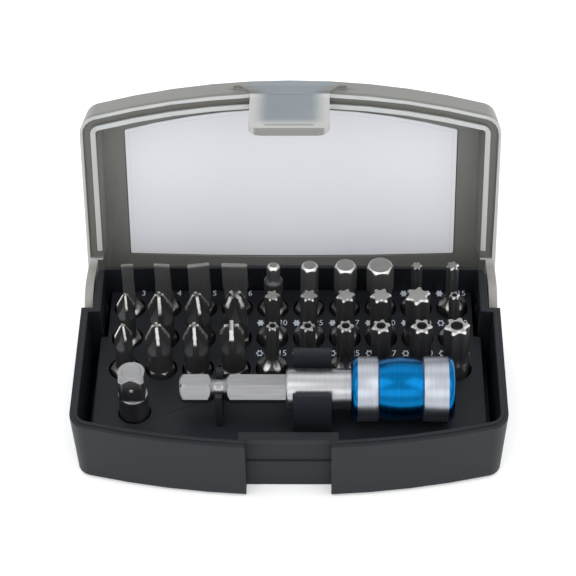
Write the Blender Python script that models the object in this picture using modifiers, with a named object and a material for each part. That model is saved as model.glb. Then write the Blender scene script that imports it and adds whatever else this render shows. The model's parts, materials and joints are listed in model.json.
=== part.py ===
"""A 32-piece screwdriver bit set: drafted case, smoky hinged lid, thirty insert bits,
a square drive adapter and a quick-release bit holder lying in a clip.

World axes: +X to the right, +Y to the back (the hinge side), +Z up. The origin is the
middle of the case's underside. The lid is modelled open, at its stop.
Run with: blender --background --python part.py
"""

import math

import bmesh
import bpy
from mathutils import Matrix, Vector

MM = 0.001
GAP = 0.3 * MM                      # running gap between pieces that touch

# --- case base ---------------------------------------------------------------
CASE_HALF_WIDTH = 53.0 * MM
EAR_NOTCH_DEPTH = 3.0 * MM          # each side draws in here behind the lid's ears
CASE_REAR_HALF_WIDTH = CASE_HALF_WIDTH - EAR_NOTCH_DEPTH
CASE_FRONT_Y = -31.4 * MM           # middle of the bowed front, at the rim
CASE_BACK_Y = 32.0 * MM             # middle of the back, at the rim
CASE_FRONT_RADIUS = 190.0 * MM      # plan radius of the bowed front
CASE_BACK_RADIUS = 1250.0 * MM
CASE_CORNER = 5.0 * MM
CASE_REAR_CORNER = 2.6 * MM
CASE_HEIGHT = 18.5 * MM
CASE_DRAFT = 1.2 * MM               # how much the sides draw in at the underside
FRONT_DRAFT = 0.2 * MM
CASE_WALL = 2.0 * MM
CASE_BACK_WALL = 1.5 * MM
BACK_DRAFT = 0.2 * MM               # of the back wall, outside and inside
BACK_LEDGE = 0.4 * MM               # rim ledge along the back
CASE_FLOOR = 1.0 * MM
INSIDE_DRAFT = 0.84 * MM            # how much the inside draws in at the floor
FOOT_EDGE = 0.9 * MM                # size of the softened bottom edge
RIM_LEDGE_DROP = 0.5 * MM           # outer ledge that the lid's edge sits on

# --- latch recess in the front -----------------------------------------------
TAB_HALF_WIDTH = 9.9 * MM
TAB_THICKNESS = 1.9 * MM
TAB_DROP = 17.0 * MM                # how far the tab reaches below the rim
TAB_LEAN = 1.0 * MM                 # how far its tip lies behind its root
TAB_CORNER = 3.0 * MM
TAB_FLARE = 4.5 * MM                # radius in which it widens up the lid's front
TAB_CLEARANCE = 0.4 * MM
RECESS_DEPTH = 4.4 * MM             # below the catch
CATCH_DEPTH = 3.2 * MM              # from the front to the catch's face
CATCH_POCKET = 0.4 * MM             # how much deeper the pocket under the catch is
CATCH_HEIGHT = 1.3 * MM
CATCH_DROP = 1.0 * MM               # catch below the rim
POCKET_DROP = 10.0 * MM             # bottom of the pocket below the rim
RECESS_WALL = 1.1 * MM
RECESS_CHEEK = 1.8 * MM             # material kept beside the recess

# --- tray and its holes --------------------------------------------------------
DECK_DROP = 7.4 * MM                # deck below the rim
DECK_Z = CASE_HEIGHT - DECK_DROP
TRAY_SIDE_SLOT = 2.8 * MM           # open slot beside the tray, in front
TRAY_REAR_SLOT = 1.6 * MM           # and beside the hinge
HOLE_SIDES = 18
HOLE_CLEARANCE = 0.334 * MM         # around a bit's corners
COLUMN_PITCH = 9.2 * MM
ROW_PITCH = 10.8 * MM
FRONT_ROW_Y = 1.7 * MM
COLUMNS = 10

# --- bits ----------------------------------------------------------------------
BIT_LENGTH = 25.0 * MM
HEX_FLATS = 6.35 * MM
HEX_CORNER = HEX_FLATS / math.sqrt(3)
HOLE_DIAMETER = 2 * (HEX_CORNER + HOLE_CLEARANCE)
HEX_LENGTH = 9.2 * MM               # full hexagon before the neck
END_CHAMFER = 0.5 * MM
PIN_HOLE_DEPTH = 2.0 * MM

# Bits from left to right: kind, size label, tip size in mm, lean in degrees, turn in degrees
BACK_ROW = (
    ("slot_bit", "3", 3.0, 0.3, 4), ("slot_bit", "4", 4.0, -1.0, -6),
    ("slot_bit", "5", 5.5, -0.9, 8), ("slot_bit", "6", 6.5, -1.1, -3),
    ("hex_bit", "3", 3.0, 0.9, 0), ("hex_bit", "4", 4.0, 0.8, 10),
    ("hex_bit", "5", 5.0, 0.4, 0), ("hex_bit", "6", 6.0, -0.9, 6),
    ("star_bit", "10", 2.8, -0.9, 0), ("star_bit", "15", 3.3, -1.3, 12),
)
MIDDLE_ROW = (
    ("cross_bit", "1a", 2.6, 0.9, 20), ("cross_bit", "2a", 3.6, -1.3, -12),
    ("cross_bit", "2b", 3.6, -0.9, 8), ("cross_bit", "3a", 5.0, 0.4, 0),
    ("star_bit", "20", 3.9, 0.8, 8), ("star_bit", "25", 4.4, 0.6, 0),
    ("star_bit", "27", 5.0, 0.3, 15), ("star_bit", "30", 5.5, -1.0, 4),
    ("star_bit", "40", 6.6, -0.9, 20), ("pin_star_bit", "10", 2.8, -1.3, 8),
)
FRONT_ROW = (
    ("cross_bit", "1b", 2.6, 1.2, 35), ("cross_bit", "2c", 3.6, -1.5, 0),
    ("cross_bit", "2d", 3.6, -1.2, 10), ("cross_bit", "3b", 5.0, -1.2, -8),
    ("pin_star_bit", "15", 3.3, 1.4, 0), ("pin_star_bit", "20", 3.9, -0.2, 10),
    ("pin_star_bit", "25", 4.4, 0.1, 4), ("pin_star_bit", "27", 5.0, -1.4, 16),
    ("pin_star_bit", "30", 5.5, 0.9, 0), ("pin_star_bit", "40", 6.6, -0.8, 10),
)

# --- lid -----------------------------------------------------------------------
LID_HEADROOM = 0.35 * MM            # between the shut lid and the holder's sleeve
LID_TOP_WALL = 1.5 * MM
LID_EDGE_WALL = 0.8 * MM            # outer wall beside the groove
RIM_LEDGE_WIDTH = LID_EDGE_WALL + GAP
LID_GROOVE = 1.9 * MM
LID_TONGUE = 1.3 * MM
LID_GROOVE_DEPTH = 1.2 * MM
LID_DRAFT = 1.0 * MM
LID_TOP_EDGE = 1.5 * MM
LID_BACK_WALL = 1.1 * MM
LID_BACK_LEAN = 2.2 * MM            # the back draws in this far over the lid's depth
LID_BACK_CORNER = 4.0 * MM
PIVOT_SETBACK = 6.5 * MM            # hinge line in front of the case's back
PIVOT_DROP = 8.9 * MM               # and below its rim
PIVOT_Y = CASE_BACK_Y - PIVOT_SETBACK
PIVOT_Z = CASE_HEIGHT - PIVOT_DROP
LID_BACK_REACH = 7.7 * MM           # pivot to the lid's back face, at the rim
OPEN_ANGLE = 102.0                  # degrees from closed
EAR_RADIUS = 8.3 * MM
EAR_SETBACK = 0.4 * MM              # ear's outside, in from the lid's
EAR_CLEARANCE = 0.4 * MM            # beside the case
EAR_ROOM = 0.7 * MM                 # in front of the ear
EAR_NOTCH_Y = PIVOT_Y - EAR_RADIUS - EAR_ROOM
PIN_DIAMETER = 3.4 * MM             # stub on each ear
PIN_REACH = 1.8 * MM                # into the case wall
LABEL_MARGIN = 10.5 * MM            # lid's side to the label's
LABEL_HALF_WIDTH = CASE_HALF_WIDTH - LABEL_MARGIN
LABEL_CORNER_Y = -16.4 * MM         # the two front corners; the front bows past them
LABEL_RADIUS = 155.0 * MM
LABEL_BACK_Y = 21.0 * MM
LABEL_THICKNESS = 0.4 * MM
LABEL_CORNER = 0.4 * MM

# --- quick-release holder --------------------------------------------------------
HOLDER_X = -0.6 * MM                # the X values below count from here
HOLDER_Y = -13.1 * MM
SLEEVE_DECK_GAP = 0.35 * MM         # under the sleeve
SHANK_START_X = -25.9 * MM
NECK_X = -16.35 * MM                # middle of the shank's groove
NECK_RADIUS = 2.35 * MM
NECK_HALF_LENGTH = 2.8 * MM
NECK_FLOOR = 1.5 * MM               # half length of the groove's narrow part
SHANK_CHAMFER = 0.7 * MM
BODY_START_X = -0.1 * MM
BODY_CHAMFER = 0.3 * MM
BODY_RADIUS = 5.0 * MM
SHOULDER_X = 19.0 * MM              # where the body steps down inside the sleeve
SHOULDER_STEP = 0.4 * MM
BARREL_RADIUS = BODY_RADIUS - SHOULDER_STEP
NOSE_X = 39.9 * MM
SOCKET_FLATS = 6.5 * MM
SOCKET_DEPTH = 13.9 * MM
MAGNET_RADIUS = 2.3 * MM
MAGNET_LENGTH = 1.8 * MM
BALL_RADIUS = 1.0 * MM
BALL_X = 36.2 * MM
BALL_CENTRE = 3.3 * MM              # from the axis
RING_X = 38.1 * MM
RING_WIDTH = 0.8 * MM
RING_OUTER = BARREL_RADIUS + 1.0 * MM
RING_SEAT = BARREL_RADIUS - 0.55 * MM
SLEEVE_START_X = 15.65 * MM
SLEEVE_END_X = 40.7 * MM
SLEEVE_WALL = 2.9 * MM              # from the body's surface to the sleeve's
SLEEVE_GROOVE = 0.7 * MM            # depth of the two grooves beside the barrel grip
SLEEVE_GROOVE_RAMP = 0.5 * MM
SLEEVE_RADIUS = BODY_RADIUS + SLEEVE_WALL
SLEEVE_WAIST_RADIUS = SLEEVE_RADIUS - SLEEVE_GROOVE
SLEEVE_GRIP_START_X = 22.5 * MM
SLEEVE_GRIP_END_X = 32.9 * MM
SLEEVE_END_ROUND = 1.6 * MM
CHAMBER_START_X = 18.0 * MM
CHAMBER_END_X = 29.0 * MM
MOUTH_RADIUS = RING_OUTER + GAP
SPRING_WIRE = 0.5 * MM
SPRING_RADIUS = BARREL_RADIUS + GAP + SPRING_WIRE / 2
CHAMBER_RADIUS = SPRING_RADIUS + SPRING_WIRE / 2 + GAP
SPRING_TURNS = 5
SPRING_POINTS = 10                  # per turn

# --- rests on the tray -------------------------------------------------------------
CLIP_START_X = 1.6 * MM
CLIP_END_X = 11.0 * MM
CLIP_JAW = 1.7 * MM
CLIP_REAR_HEIGHT = 15.4 * MM        # jaw tops above the deck
CLIP_FRONT_HEIGHT = 13.2 * MM
RIB_WIDTH = 1.7 * MM
RIB_HALF_LENGTH = 5.2 * MM
RIB_HEIGHT = 10.5 * MM

# --- square drive adapter -------------------------------------------------------------
ADAPTER_X = -38.0 * MM
ADAPTER_LENGTH = 24.0 * MM
ADAPTER_HEX = 7.6 * MM
ADAPTER_COLLAR_RADIUS = HEX_CORNER + 0.05 * MM
ADAPTER_HOLE = 2 * (ADAPTER_COLLAR_RADIUS + HOLE_CLEARANCE)
ADAPTER_SQUARE = 6.35 * MM
ADAPTER_SQUARE_LENGTH = 7.4 * MM
ADAPTER_CORNER = 0.8 * MM
DETENT_RADIUS = 0.8 * MM

TURNED_STEPS = 24
FRONT_SEGMENTS = 10
CORNER_SEGMENTS = 4
BACK_SEGMENTS = 4
LEAST_CORNER = 0.4 * MM

HOLDER_Z = DECK_Z + SLEEVE_DECK_GAP + SLEEVE_RADIUS
LID_DEPTH = HOLDER_Z + SLEEVE_RADIUS + LID_HEADROOM + LID_TOP_WALL - CASE_HEIGHT
BIT_FOOT_Z = CASE_FLOOR + GAP
WELD = 1.0 * MM                     # how far united shapes run into each other
CLEARANCE_CUT = 5.0 * MM            # how far a cutter runs past the face it cuts
SLICE = 0.01 * MM                   # by which stacked cutters overlap

FINISHES = {
    "case_plastic": ((0.045, 0.050, 0.055), 0.45, 0.0),
    "tray_plastic": ((0.020, 0.023, 0.027), 0.55, 0.0),
    "smoky_plastic": ((0.22, 0.22, 0.21), 0.35, 0.0),
    "label_foil": ((0.66, 0.67, 0.70), 0.45, 0.0),
    "bit_steel": ((0.16, 0.15, 0.14), 0.32, 1.0),
    "bare_steel": ((0.55, 0.55, 0.56), 0.30, 1.0),
    "blue_anodised": ((0.0, 0.11, 0.33), 0.22, 0.6),
    "spring_steel": ((0.50, 0.50, 0.52), 0.28, 1.0),
    "magnet_nickel": ((0.60, 0.58, 0.55), 0.25, 1.0),
}


def clear_scene():
    for thing in list(bpy.data.objects):
        bpy.data.objects.remove(thing)
    for mesh in list(bpy.data.meshes):
        bpy.data.meshes.remove(mesh)


def new_collection(name):
    collection = bpy.data.collections.new(name)
    bpy.context.scene.collection.children.link(collection)
    return collection


def make_material(name):
    colour, roughness, metallic = FINISHES[name]
    material = bpy.data.materials.new(name)
    material.use_nodes = True
    shader = material.node_tree.nodes["Principled BSDF"]
    shader.inputs["Base Color"].default_value = (*colour, 1.0)
    shader.inputs["Roughness"].default_value = roughness
    shader.inputs["Metallic"].default_value = metallic
    return material


clear_scene()
PARTS = new_collection("bit_set")
CUTTERS = new_collection("cutters")
MATERIALS = {name: make_material(name) for name in FINISHES}


# --- making objects ---------------------------------------------------------------
def add_object(name, mesh, finish=None, parent=None):
    thing = bpy.data.objects.new(name, mesh)
    if finish is None:
        CUTTERS.objects.link(thing)
        thing.hide_render = True
        thing.display_type = "WIRE"
    else:
        PARTS.objects.link(thing)
        mesh.materials.append(MATERIALS[finish])
    thing.parent = parent
    return thing


def add_empty(name, place, turn=(0.0, 0.0, 0.0)):
    empty = bpy.data.objects.new(name, None)
    empty.location = place
    empty.rotation_euler = turn
    PARTS.objects.link(empty)
    return empty


def loft_mesh(name, sections):
    """A closed solid through rings of points that all have the same count."""
    bm = bmesh.new()
    rings = [[bm.verts.new(point) for point in ring] for ring in sections]
    count = len(rings[0])
    for low, high in zip(rings, rings[1:]):
        for i in range(count):
            j = (i + 1) % count
            bm.faces.new((low[i], low[j], high[j], high[i]))
    bm.faces.new(list(reversed(rings[0])))
    bm.faces.new(rings[-1])
    bmesh.ops.recalc_face_normals(bm, faces=bm.faces)
    mesh = bpy.data.meshes.new(name)
    bm.to_mesh(mesh)
    bm.free()
    return mesh


def ring_at(points, z):
    return [(x, y, z) for x, y in points]


def box_mesh(name, low, high):
    bm = bmesh.new()
    bmesh.ops.create_cube(bm, size=1.0)
    size = Vector(high) - Vector(low)
    middle = (Vector(high) + Vector(low)) / 2
    bmesh.ops.scale(bm, vec=size, verts=bm.verts)
    bmesh.ops.translate(bm, vec=middle, verts=bm.verts)
    mesh = bpy.data.meshes.new(name)
    bm.to_mesh(mesh)
    bm.free()
    return mesh


def cylinder_mesh(name, radius, length, centre, axis="Z", sides=TURNED_STEPS):
    turn = {"X": Matrix.Rotation(math.radians(90), 4, "Y"), "Z": Matrix.Identity(4),
            "Y": Matrix.Rotation(math.radians(90), 4, "X")}[axis]
    bm = bmesh.new()
    bmesh.ops.create_cone(bm, cap_ends=True, segments=sides, radius1=radius,
                          radius2=radius, depth=length,
                          matrix=Matrix.Translation(centre) @ turn)
    mesh = bpy.data.meshes.new(name)
    bm.to_mesh(mesh)
    bm.free()
    return mesh


def ball_mesh(name, radius, centre):
    bm = bmesh.new()
    bmesh.ops.create_uvsphere(bm, u_segments=10, v_segments=6, radius=radius,
                              matrix=Matrix.Translation(centre))
    mesh = bpy.data.meshes.new(name)
    bm.to_mesh(mesh)
    bm.free()
    return mesh


def merged_mesh(name, meshes):
    """Several separate closed shapes in one mesh."""
    bm = bmesh.new()
    for mesh in meshes:
        bm.from_mesh(mesh)
        bpy.data.meshes.remove(mesh)
    result = bpy.data.meshes.new(name)
    bm.to_mesh(result)
    bm.free()
    return result


def shape_by(thing, operation, mesh, parent=None):
    """A Boolean with a hidden helper, which stays on the object."""
    helper = add_object(f"{thing.name}_{operation.lower()}_{len(thing.modifiers)}", mesh,
                        parent=parent)
    modifier = thing.modifiers.new(helper.name, "BOOLEAN")
    modifier.operation = operation
    modifier.solver = "EXACT"
    modifier.object = helper
    return helper


def turned(name, profile, finish, parent, steps=TURNED_STEPS):
    """A ring-like piece: a closed profile of (radius, z), turned about its parent's Z.
    The profile runs down its outer side first."""
    bm = bmesh.new()
    points = [bm.verts.new((radius, 0.0, z)) for radius, z in profile]
    for first, second in zip(points, points[1:] + points[:1]):
        bm.edges.new((first, second))
    mesh = bpy.data.meshes.new(name)
    bm.to_mesh(mesh)
    bm.free()
    thing = add_object(name, mesh, finish, parent)
    screw = thing.modifiers.new("turned", "SCREW")
    screw.axis = "Z"
    screw.steps = steps
    screw.render_steps = steps
    screw.use_merge_vertices = True
    screw.merge_threshold = 0.00001
    return thing


def shade(thing, angle=35.0):
    thing.data.shade_smooth()
    thing.data.set_sharp_from_angle(angle=math.radians(angle))


# --- plan outlines ------------------------------------------------------------------
def arc_points(centre, radius, start, end, segments):
    points = []
    for step in range(segments + 1):
        angle = start + (end - start) * step / segments
        points.append((centre[0] + radius * math.cos(angle),
                       centre[1] + radius * math.sin(angle)))
    return points


def bowed_end(half_width, end_y, bow_radius, corner, segments):
    """Right half of a bowed end at +Y: from the side, round the corner, to the middle."""
    bow_y = end_y - bow_radius
    corner_x = half_width - corner
    corner_y = bow_y + math.sqrt((bow_radius - corner) ** 2 - corner_x ** 2)
    lean = math.atan2(corner_y - bow_y, corner_x)
    points = arc_points((corner_x, corner_y), corner, 0.0, lean, CORNER_SEGMENTS)
    points += arc_points((0.0, bow_y), bow_radius, lean, math.pi / 2, segments)[1:]
    return points


class Outline:
    """A case outline seen from above, with a step in each side at step_y. Every outline
    has the same count of points, so that any two of them can be lofted together."""

    def __init__(self, half_width, rear_half_width, step_y, front_y, back_y,
                 corner, rear_corner, front_radius=CASE_FRONT_RADIUS):
        self.half_width = half_width
        self.rear_half_width = rear_half_width
        self.step_y = step_y
        self.front_y = front_y
        self.back_y = back_y
        self.corner = corner
        self.rear_corner = rear_corner
        self.front_radius = front_radius

    def right_half(self, inset=0.0, back_inset=None, front_inset=None):
        """The sides draw in by inset, and so do the ends that have no inset of their own."""
        if back_inset is None:
            back_inset = inset
        if front_inset is None:
            front_inset = inset
        front = bowed_end(self.half_width - inset, -(self.front_y + front_inset),
                          self.front_radius - front_inset,
                          max(self.corner - inset, LEAST_CORNER), FRONT_SEGMENTS // 2)
        front = [(x, -y) for x, y in reversed(front)]
        back = bowed_end(self.rear_half_width - inset, self.back_y - back_inset,
                         CASE_BACK_RADIUS - inset,
                         max(self.rear_corner - inset, LEAST_CORNER), BACK_SEGMENTS // 2)
        if self.half_width == self.rear_half_width:
            front_step, rear_step = self.step_y, self.step_y + WELD
        else:
            narrowing = self.half_width - self.rear_half_width
            front_step = rear_step = self.step_y - math.copysign(inset, narrowing)
        step = [(self.half_width - inset, front_step), (self.rear_half_width - inset, rear_step)]
        return front + step + back

    def points(self, inset=0.0, back_inset=None, front_inset=None):
        right = self.right_half(inset, back_inset, front_inset)
        left = [(-x, y) for x, y in reversed(right[1:-1])]
        return right + left

    def front_part(self, inset):
        """The right half up to the step only."""
        return self.right_half(inset)[:FRONT_SEGMENTS // 2 + CORNER_SEGMENTS + 2]


CASE = Outline(CASE_HALF_WIDTH, CASE_REAR_HALF_WIDTH, EAR_NOTCH_Y, CASE_FRONT_Y,
               CASE_BACK_Y, CASE_CORNER, CASE_REAR_CORNER)


# --- base tub -------------------------------------------------------------------------
def make_base_tub():
    ledge_z = CASE_HEIGHT - RIM_LEDGE_DROP
    inner_foot = CASE_WALL + INSIDE_DRAFT
    profile = (                         # insets of the sides, the back and the front; height
        (CASE_DRAFT + FOOT_EDGE, BACK_DRAFT + FOOT_EDGE, FRONT_DRAFT + FOOT_EDGE, 0.0),
        (CASE_DRAFT, BACK_DRAFT, FRONT_DRAFT, FOOT_EDGE),
        (0.0, 0.0, 0.0, ledge_z),
        (RIM_LEDGE_WIDTH, BACK_LEDGE, RIM_LEDGE_WIDTH, ledge_z),
        (RIM_LEDGE_WIDTH, BACK_LEDGE, RIM_LEDGE_WIDTH, CASE_HEIGHT),
        (CASE_WALL, CASE_BACK_WALL, CASE_WALL, CASE_HEIGHT),
        (inner_foot, CASE_BACK_WALL + BACK_DRAFT, inner_foot, CASE_FLOOR),
    )
    tub = add_object("base_tub", loft_mesh("base_tub", [
        ring_at(CASE.points(side, back, front), z) for side, back, front, z in profile]),
        "case_plastic")
    recess_half = TAB_HALF_WIDTH + TAB_CLEARANCE
    cheek_half = recess_half + RECESS_CHEEK
    recess_y = CASE_FRONT_Y + RECESS_DEPTH
    catch_top = CASE_HEIGHT - CATCH_DROP
    pocket_z = CASE_HEIGHT - POCKET_DROP
    wall_y = recess_y + CATCH_POCKET + RECESS_WALL
    shape_by(tub, "UNION", box_mesh("recess_wall", (
        -cheek_half, CASE_FRONT_Y + 0.8 * CASE_WALL, CASE_FLOOR / 2),
        (cheek_half, wall_y, catch_top)))
    outside_y = CASE_FRONT_Y - CLEARANCE_CUT
    shape_by(tub, "DIFFERENCE", box_mesh("recess", (
        -recess_half, outside_y, -CLEARANCE_CUT), (recess_half, recess_y, pocket_z)))
    shape_by(tub, "DIFFERENCE", box_mesh("catch_pocket", (
        -recess_half, outside_y, pocket_z - SLICE),
        (recess_half, recess_y + CATCH_POCKET, catch_top - CATCH_HEIGHT)))
    shape_by(tub, "DIFFERENCE", box_mesh("tab_way", (
        -recess_half, outside_y, catch_top - CATCH_HEIGHT - SLICE),
        (recess_half, CASE_FRONT_Y + CATCH_DEPTH, CASE_HEIGHT + CLEARANCE_CUT)))
    shape_by(tub, "DIFFERENCE", cylinder_mesh(
        "pin_holes", PIN_DIAMETER / 2 + GAP, 4 * CASE_REAR_HALF_WIDTH,
        (0.0, PIVOT_Y, PIVOT_Z), "X"))
    shade(tub)
    return tub


# --- tray --------------------------------------------------------------------------------
def column_x(index):
    return (index - (COLUMNS - 1) / 2) * COLUMN_PITCH


def bit_places():
    """Every bit with its hole: (kind, label, tip, lean, turn, x, y)."""
    for row, bits in enumerate((FRONT_ROW, MIDDLE_ROW, BACK_ROW)):
        for index, bit in enumerate(bits):
            yield (*bit, column_x(index), FRONT_ROW_Y + row * ROW_PITCH)


def cradle_profile(half_gap, jaw, front_top, rear_top, floor, foot):
    """Side view (y, z) of a U-shaped rest, open upwards, with leaning jaw tops."""
    lead = jaw * 0.45
    return [(-half_gap - jaw, foot), (half_gap + jaw, foot), (half_gap + jaw, rear_top),
            (half_gap + lead, rear_top), (half_gap, rear_top - 2 * lead),
            (half_gap, floor), (-half_gap, floor), (-half_gap, front_top - 2 * lead),
            (-half_gap - lead, front_top), (-half_gap - jaw, front_top)]


def side_prism(name, profile, start_x, end_x, middle_y):
    return loft_mesh(name, [[(x, middle_y + y, z) for y, z in profile]
                            for x in (start_x, end_x)])


def make_bit_tray():
    outline = Outline(CASE_HALF_WIDTH - CASE_WALL - TRAY_SIDE_SLOT,
                      CASE_REAR_HALF_WIDTH - CASE_WALL - TRAY_REAR_SLOT,
                      EAR_NOTCH_Y - CASE_WALL - TRAY_REAR_SLOT,
                      CASE_FRONT_Y + CASE_WALL + INSIDE_DRAFT + GAP,
                      CASE_BACK_Y - CASE_BACK_WALL - BACK_DRAFT - GAP,
                      CASE_CORNER - CASE_WALL, CASE_REAR_CORNER - CASE_WALL)
    foot_z = BIT_FOOT_Z
    tray = add_object("bit_tray", loft_mesh(
        "bit_tray", [ring_at(outline.points(), z) for z in (foot_z, DECK_Z)]),
        "tray_plastic")
    joint_z = DECK_Z - WELD
    clip = cradle_profile(BODY_RADIUS + GAP, CLIP_JAW, DECK_Z + CLIP_FRONT_HEIGHT,
                          DECK_Z + CLIP_REAR_HEIGHT, HOLDER_Z - BODY_RADIUS - GAP, joint_z)
    shape_by(tray, "UNION", side_prism("holder_clip", clip, HOLDER_X + CLIP_START_X,
                                       HOLDER_X + CLIP_END_X, HOLDER_Y))
    neck_gap = NECK_RADIUS + GAP
    rib = cradle_profile(neck_gap, RIB_HALF_LENGTH - neck_gap, DECK_Z + RIB_HEIGHT,
                         DECK_Z + RIB_HEIGHT, HOLDER_Z - neck_gap, joint_z)
    rib_x = HOLDER_X + NECK_X
    shape_by(tray, "UNION", side_prism("neck_rib", rib, rib_x - RIB_WIDTH / 2,
                                       rib_x + RIB_WIDTH / 2, HOLDER_Y))
    length = 2 * DECK_Z + CLEARANCE_CUT
    holes = [cylinder_mesh("hole", HOLE_DIAMETER / 2, length, (place[5], place[6], foot_z),
                           sides=HOLE_SIDES) for place in bit_places()]
    holes.append(cylinder_mesh("adapter_hole", ADAPTER_HOLE / 2, length,
                               (ADAPTER_X, HOLDER_Y, foot_z), sides=HOLE_SIDES))
    shape_by(tray, "DIFFERENCE", merged_mesh("tray_holes", holes))
    recess_half = TAB_HALF_WIDTH + TAB_CLEARANCE + RECESS_CHEEK + GAP
    wall_y = CASE_FRONT_Y + RECESS_DEPTH + CATCH_POCKET + RECESS_WALL + GAP
    shape_by(tray, "DIFFERENCE", box_mesh("recess_room", (
        -recess_half, CASE_FRONT_Y - CLEARANCE_CUT, -CLEARANCE_CUT),
        (recess_half, wall_y, DECK_Z + CLEARANCE_CUT)))
    shade(tray)
    return tray


# --- bits -----------------------------------------------------------------------------------
def polar(radius, degrees):
    angle = math.radians(degrees)
    return (radius * math.cos(angle), radius * math.sin(angle))


def round_section(radius):
    return [polar(radius, 30 * i) for i in range(12)]


def hex_section(flats, limit=None):
    """Twelve points: corners at 0, 60 ... and flat middles; limit rounds the corners off."""
    corner = flats / math.sqrt(3)
    if limit is not None:
        corner = min(corner, limit)
    return [polar(corner if i % 2 == 0 else min(flats / 2, corner), 30 * i)
            for i in range(12)]


def star_section(across):
    """Six lobes: peaks on the even points, valleys between."""
    return [polar(across / 2 * (1.0 if i % 2 == 0 else 0.72), 30 * i) for i in range(12)]


def blade_section(width, thickness):
    half, thin = width / 2, thickness / 2
    upper = [(half, 0.0), (half, thin), (half / 2, thin), (0.0, thin), (-half / 2, thin),
             (-half, thin)]
    return upper + [(-x, -y) for x, y in upper]


def cross_section(across, web, core):
    """Four wings at 15, 105, 195 and 285 degrees, with core radius between them."""
    spread = math.degrees(math.asin(web / across))
    points = []
    for wing in range(4):
        middle = 15 + 90 * wing
        points += [polar(across / 2, middle - spread), polar(across / 2, middle + spread),
                   polar(core, middle + 45)]
    return points


def tip_sections(kind, size):
    """Sections from the end of the hexagon to the tip: (points, distance from the foot)."""
    end = BIT_LENGTH
    if kind == "slot_bit":
        neck = min(size * 0.5 + 0.6 * MM, 2.9 * MM)
        thickness = 0.35 * MM + size * 0.12
        return [(round_section(neck), HEX_LENGTH + 2.4 * MM),
                (round_section(neck), end - 10.5 * MM),
                (blade_section(max(size, 1.7 * neck), 1.7 * neck), end - 9.3 * MM),
                (blade_section(size, thickness * 1.5), end - 3.5 * MM),
                (blade_section(size, thickness), end)]
    if kind == "hex_bit":
        step = HEX_LENGTH + (4.5 * MM if size > 3.5 * MM else 8.0 * MM)
        chamfer = min(0.6 * MM, size * 0.15)
        return [(round_section(max(size * 0.62, 2.4 * MM)), step - 1.2 * MM),
                (hex_section(size), step),
                (hex_section(size), end - chamfer),
                (hex_section(size, size / 2 - chamfer / 2), end)]
    if kind == "cross_bit":
        neck = min(size * 0.62 + 0.5 * MM, 3.0 * MM)
        web = size * 0.16
        return [(round_section(neck), HEX_LENGTH + 2.4 * MM),
                (round_section(neck), end - 8.0 * MM),
                (cross_section(size * 1.15, web * 1.5, size * 0.42), end - 4.2 * MM),
                (cross_section(size * 0.45, web, size * 0.14), end)]
    neck = min(size * 0.5, 2.9 * MM)
    sections = [(round_section(neck + 0.1 * MM), HEX_LENGTH + 2.6 * MM),
                (star_section(size), HEX_LENGTH + 4.4 * MM),
                (star_section(size), end - 0.35 * MM),
                (star_section(size * 0.93), end)]
    if kind == "pin_star_bit":
        hole = size * 0.2
        sections += [(round_section(hole), end), (round_section(hole), end - PIN_HOLE_DEPTH)]
    return sections


def make_bit(kind, label, tip, lean, turn, x, y):
    shank = [(hex_section(HEX_FLATS, HEX_CORNER - END_CHAMFER), 0.0),
             (hex_section(HEX_FLATS), END_CHAMFER), (hex_section(HEX_FLATS), HEX_LENGTH)]
    sections = [ring_at(points, z) for points, z in shank + tip_sections(kind, tip * MM)]
    bit = add_object(f"{kind}_{label}", loft_mesh(kind, sections), "bit_steel")
    pivot_height = (DECK_Z - BIT_FOOT_Z) / 2
    spin = Matrix.Rotation(math.radians(turn), 4, "Z")
    tilt = Matrix.Rotation(math.radians(lean), 4, "Y")
    bit.matrix_world = (Matrix.Translation((x, y, BIT_FOOT_Z + pivot_height)) @ tilt
                        @ Matrix.Translation((0.0, 0.0, -pivot_height)) @ spin)
    shade(bit)
    return bit


# --- square drive adapter -----------------------------------------------------------------------
def square_section(side, corner):
    """Twelve points: for each side its middle and the two ends of its corner."""
    half = side / 2
    points = []
    for quarter in range(4):
        for x, y in ((half, 0.0), (half, half - corner), (half - corner, half)):
            for _ in range(quarter):
                x, y = -y, x
            points.append((x, y))
    return points


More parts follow.
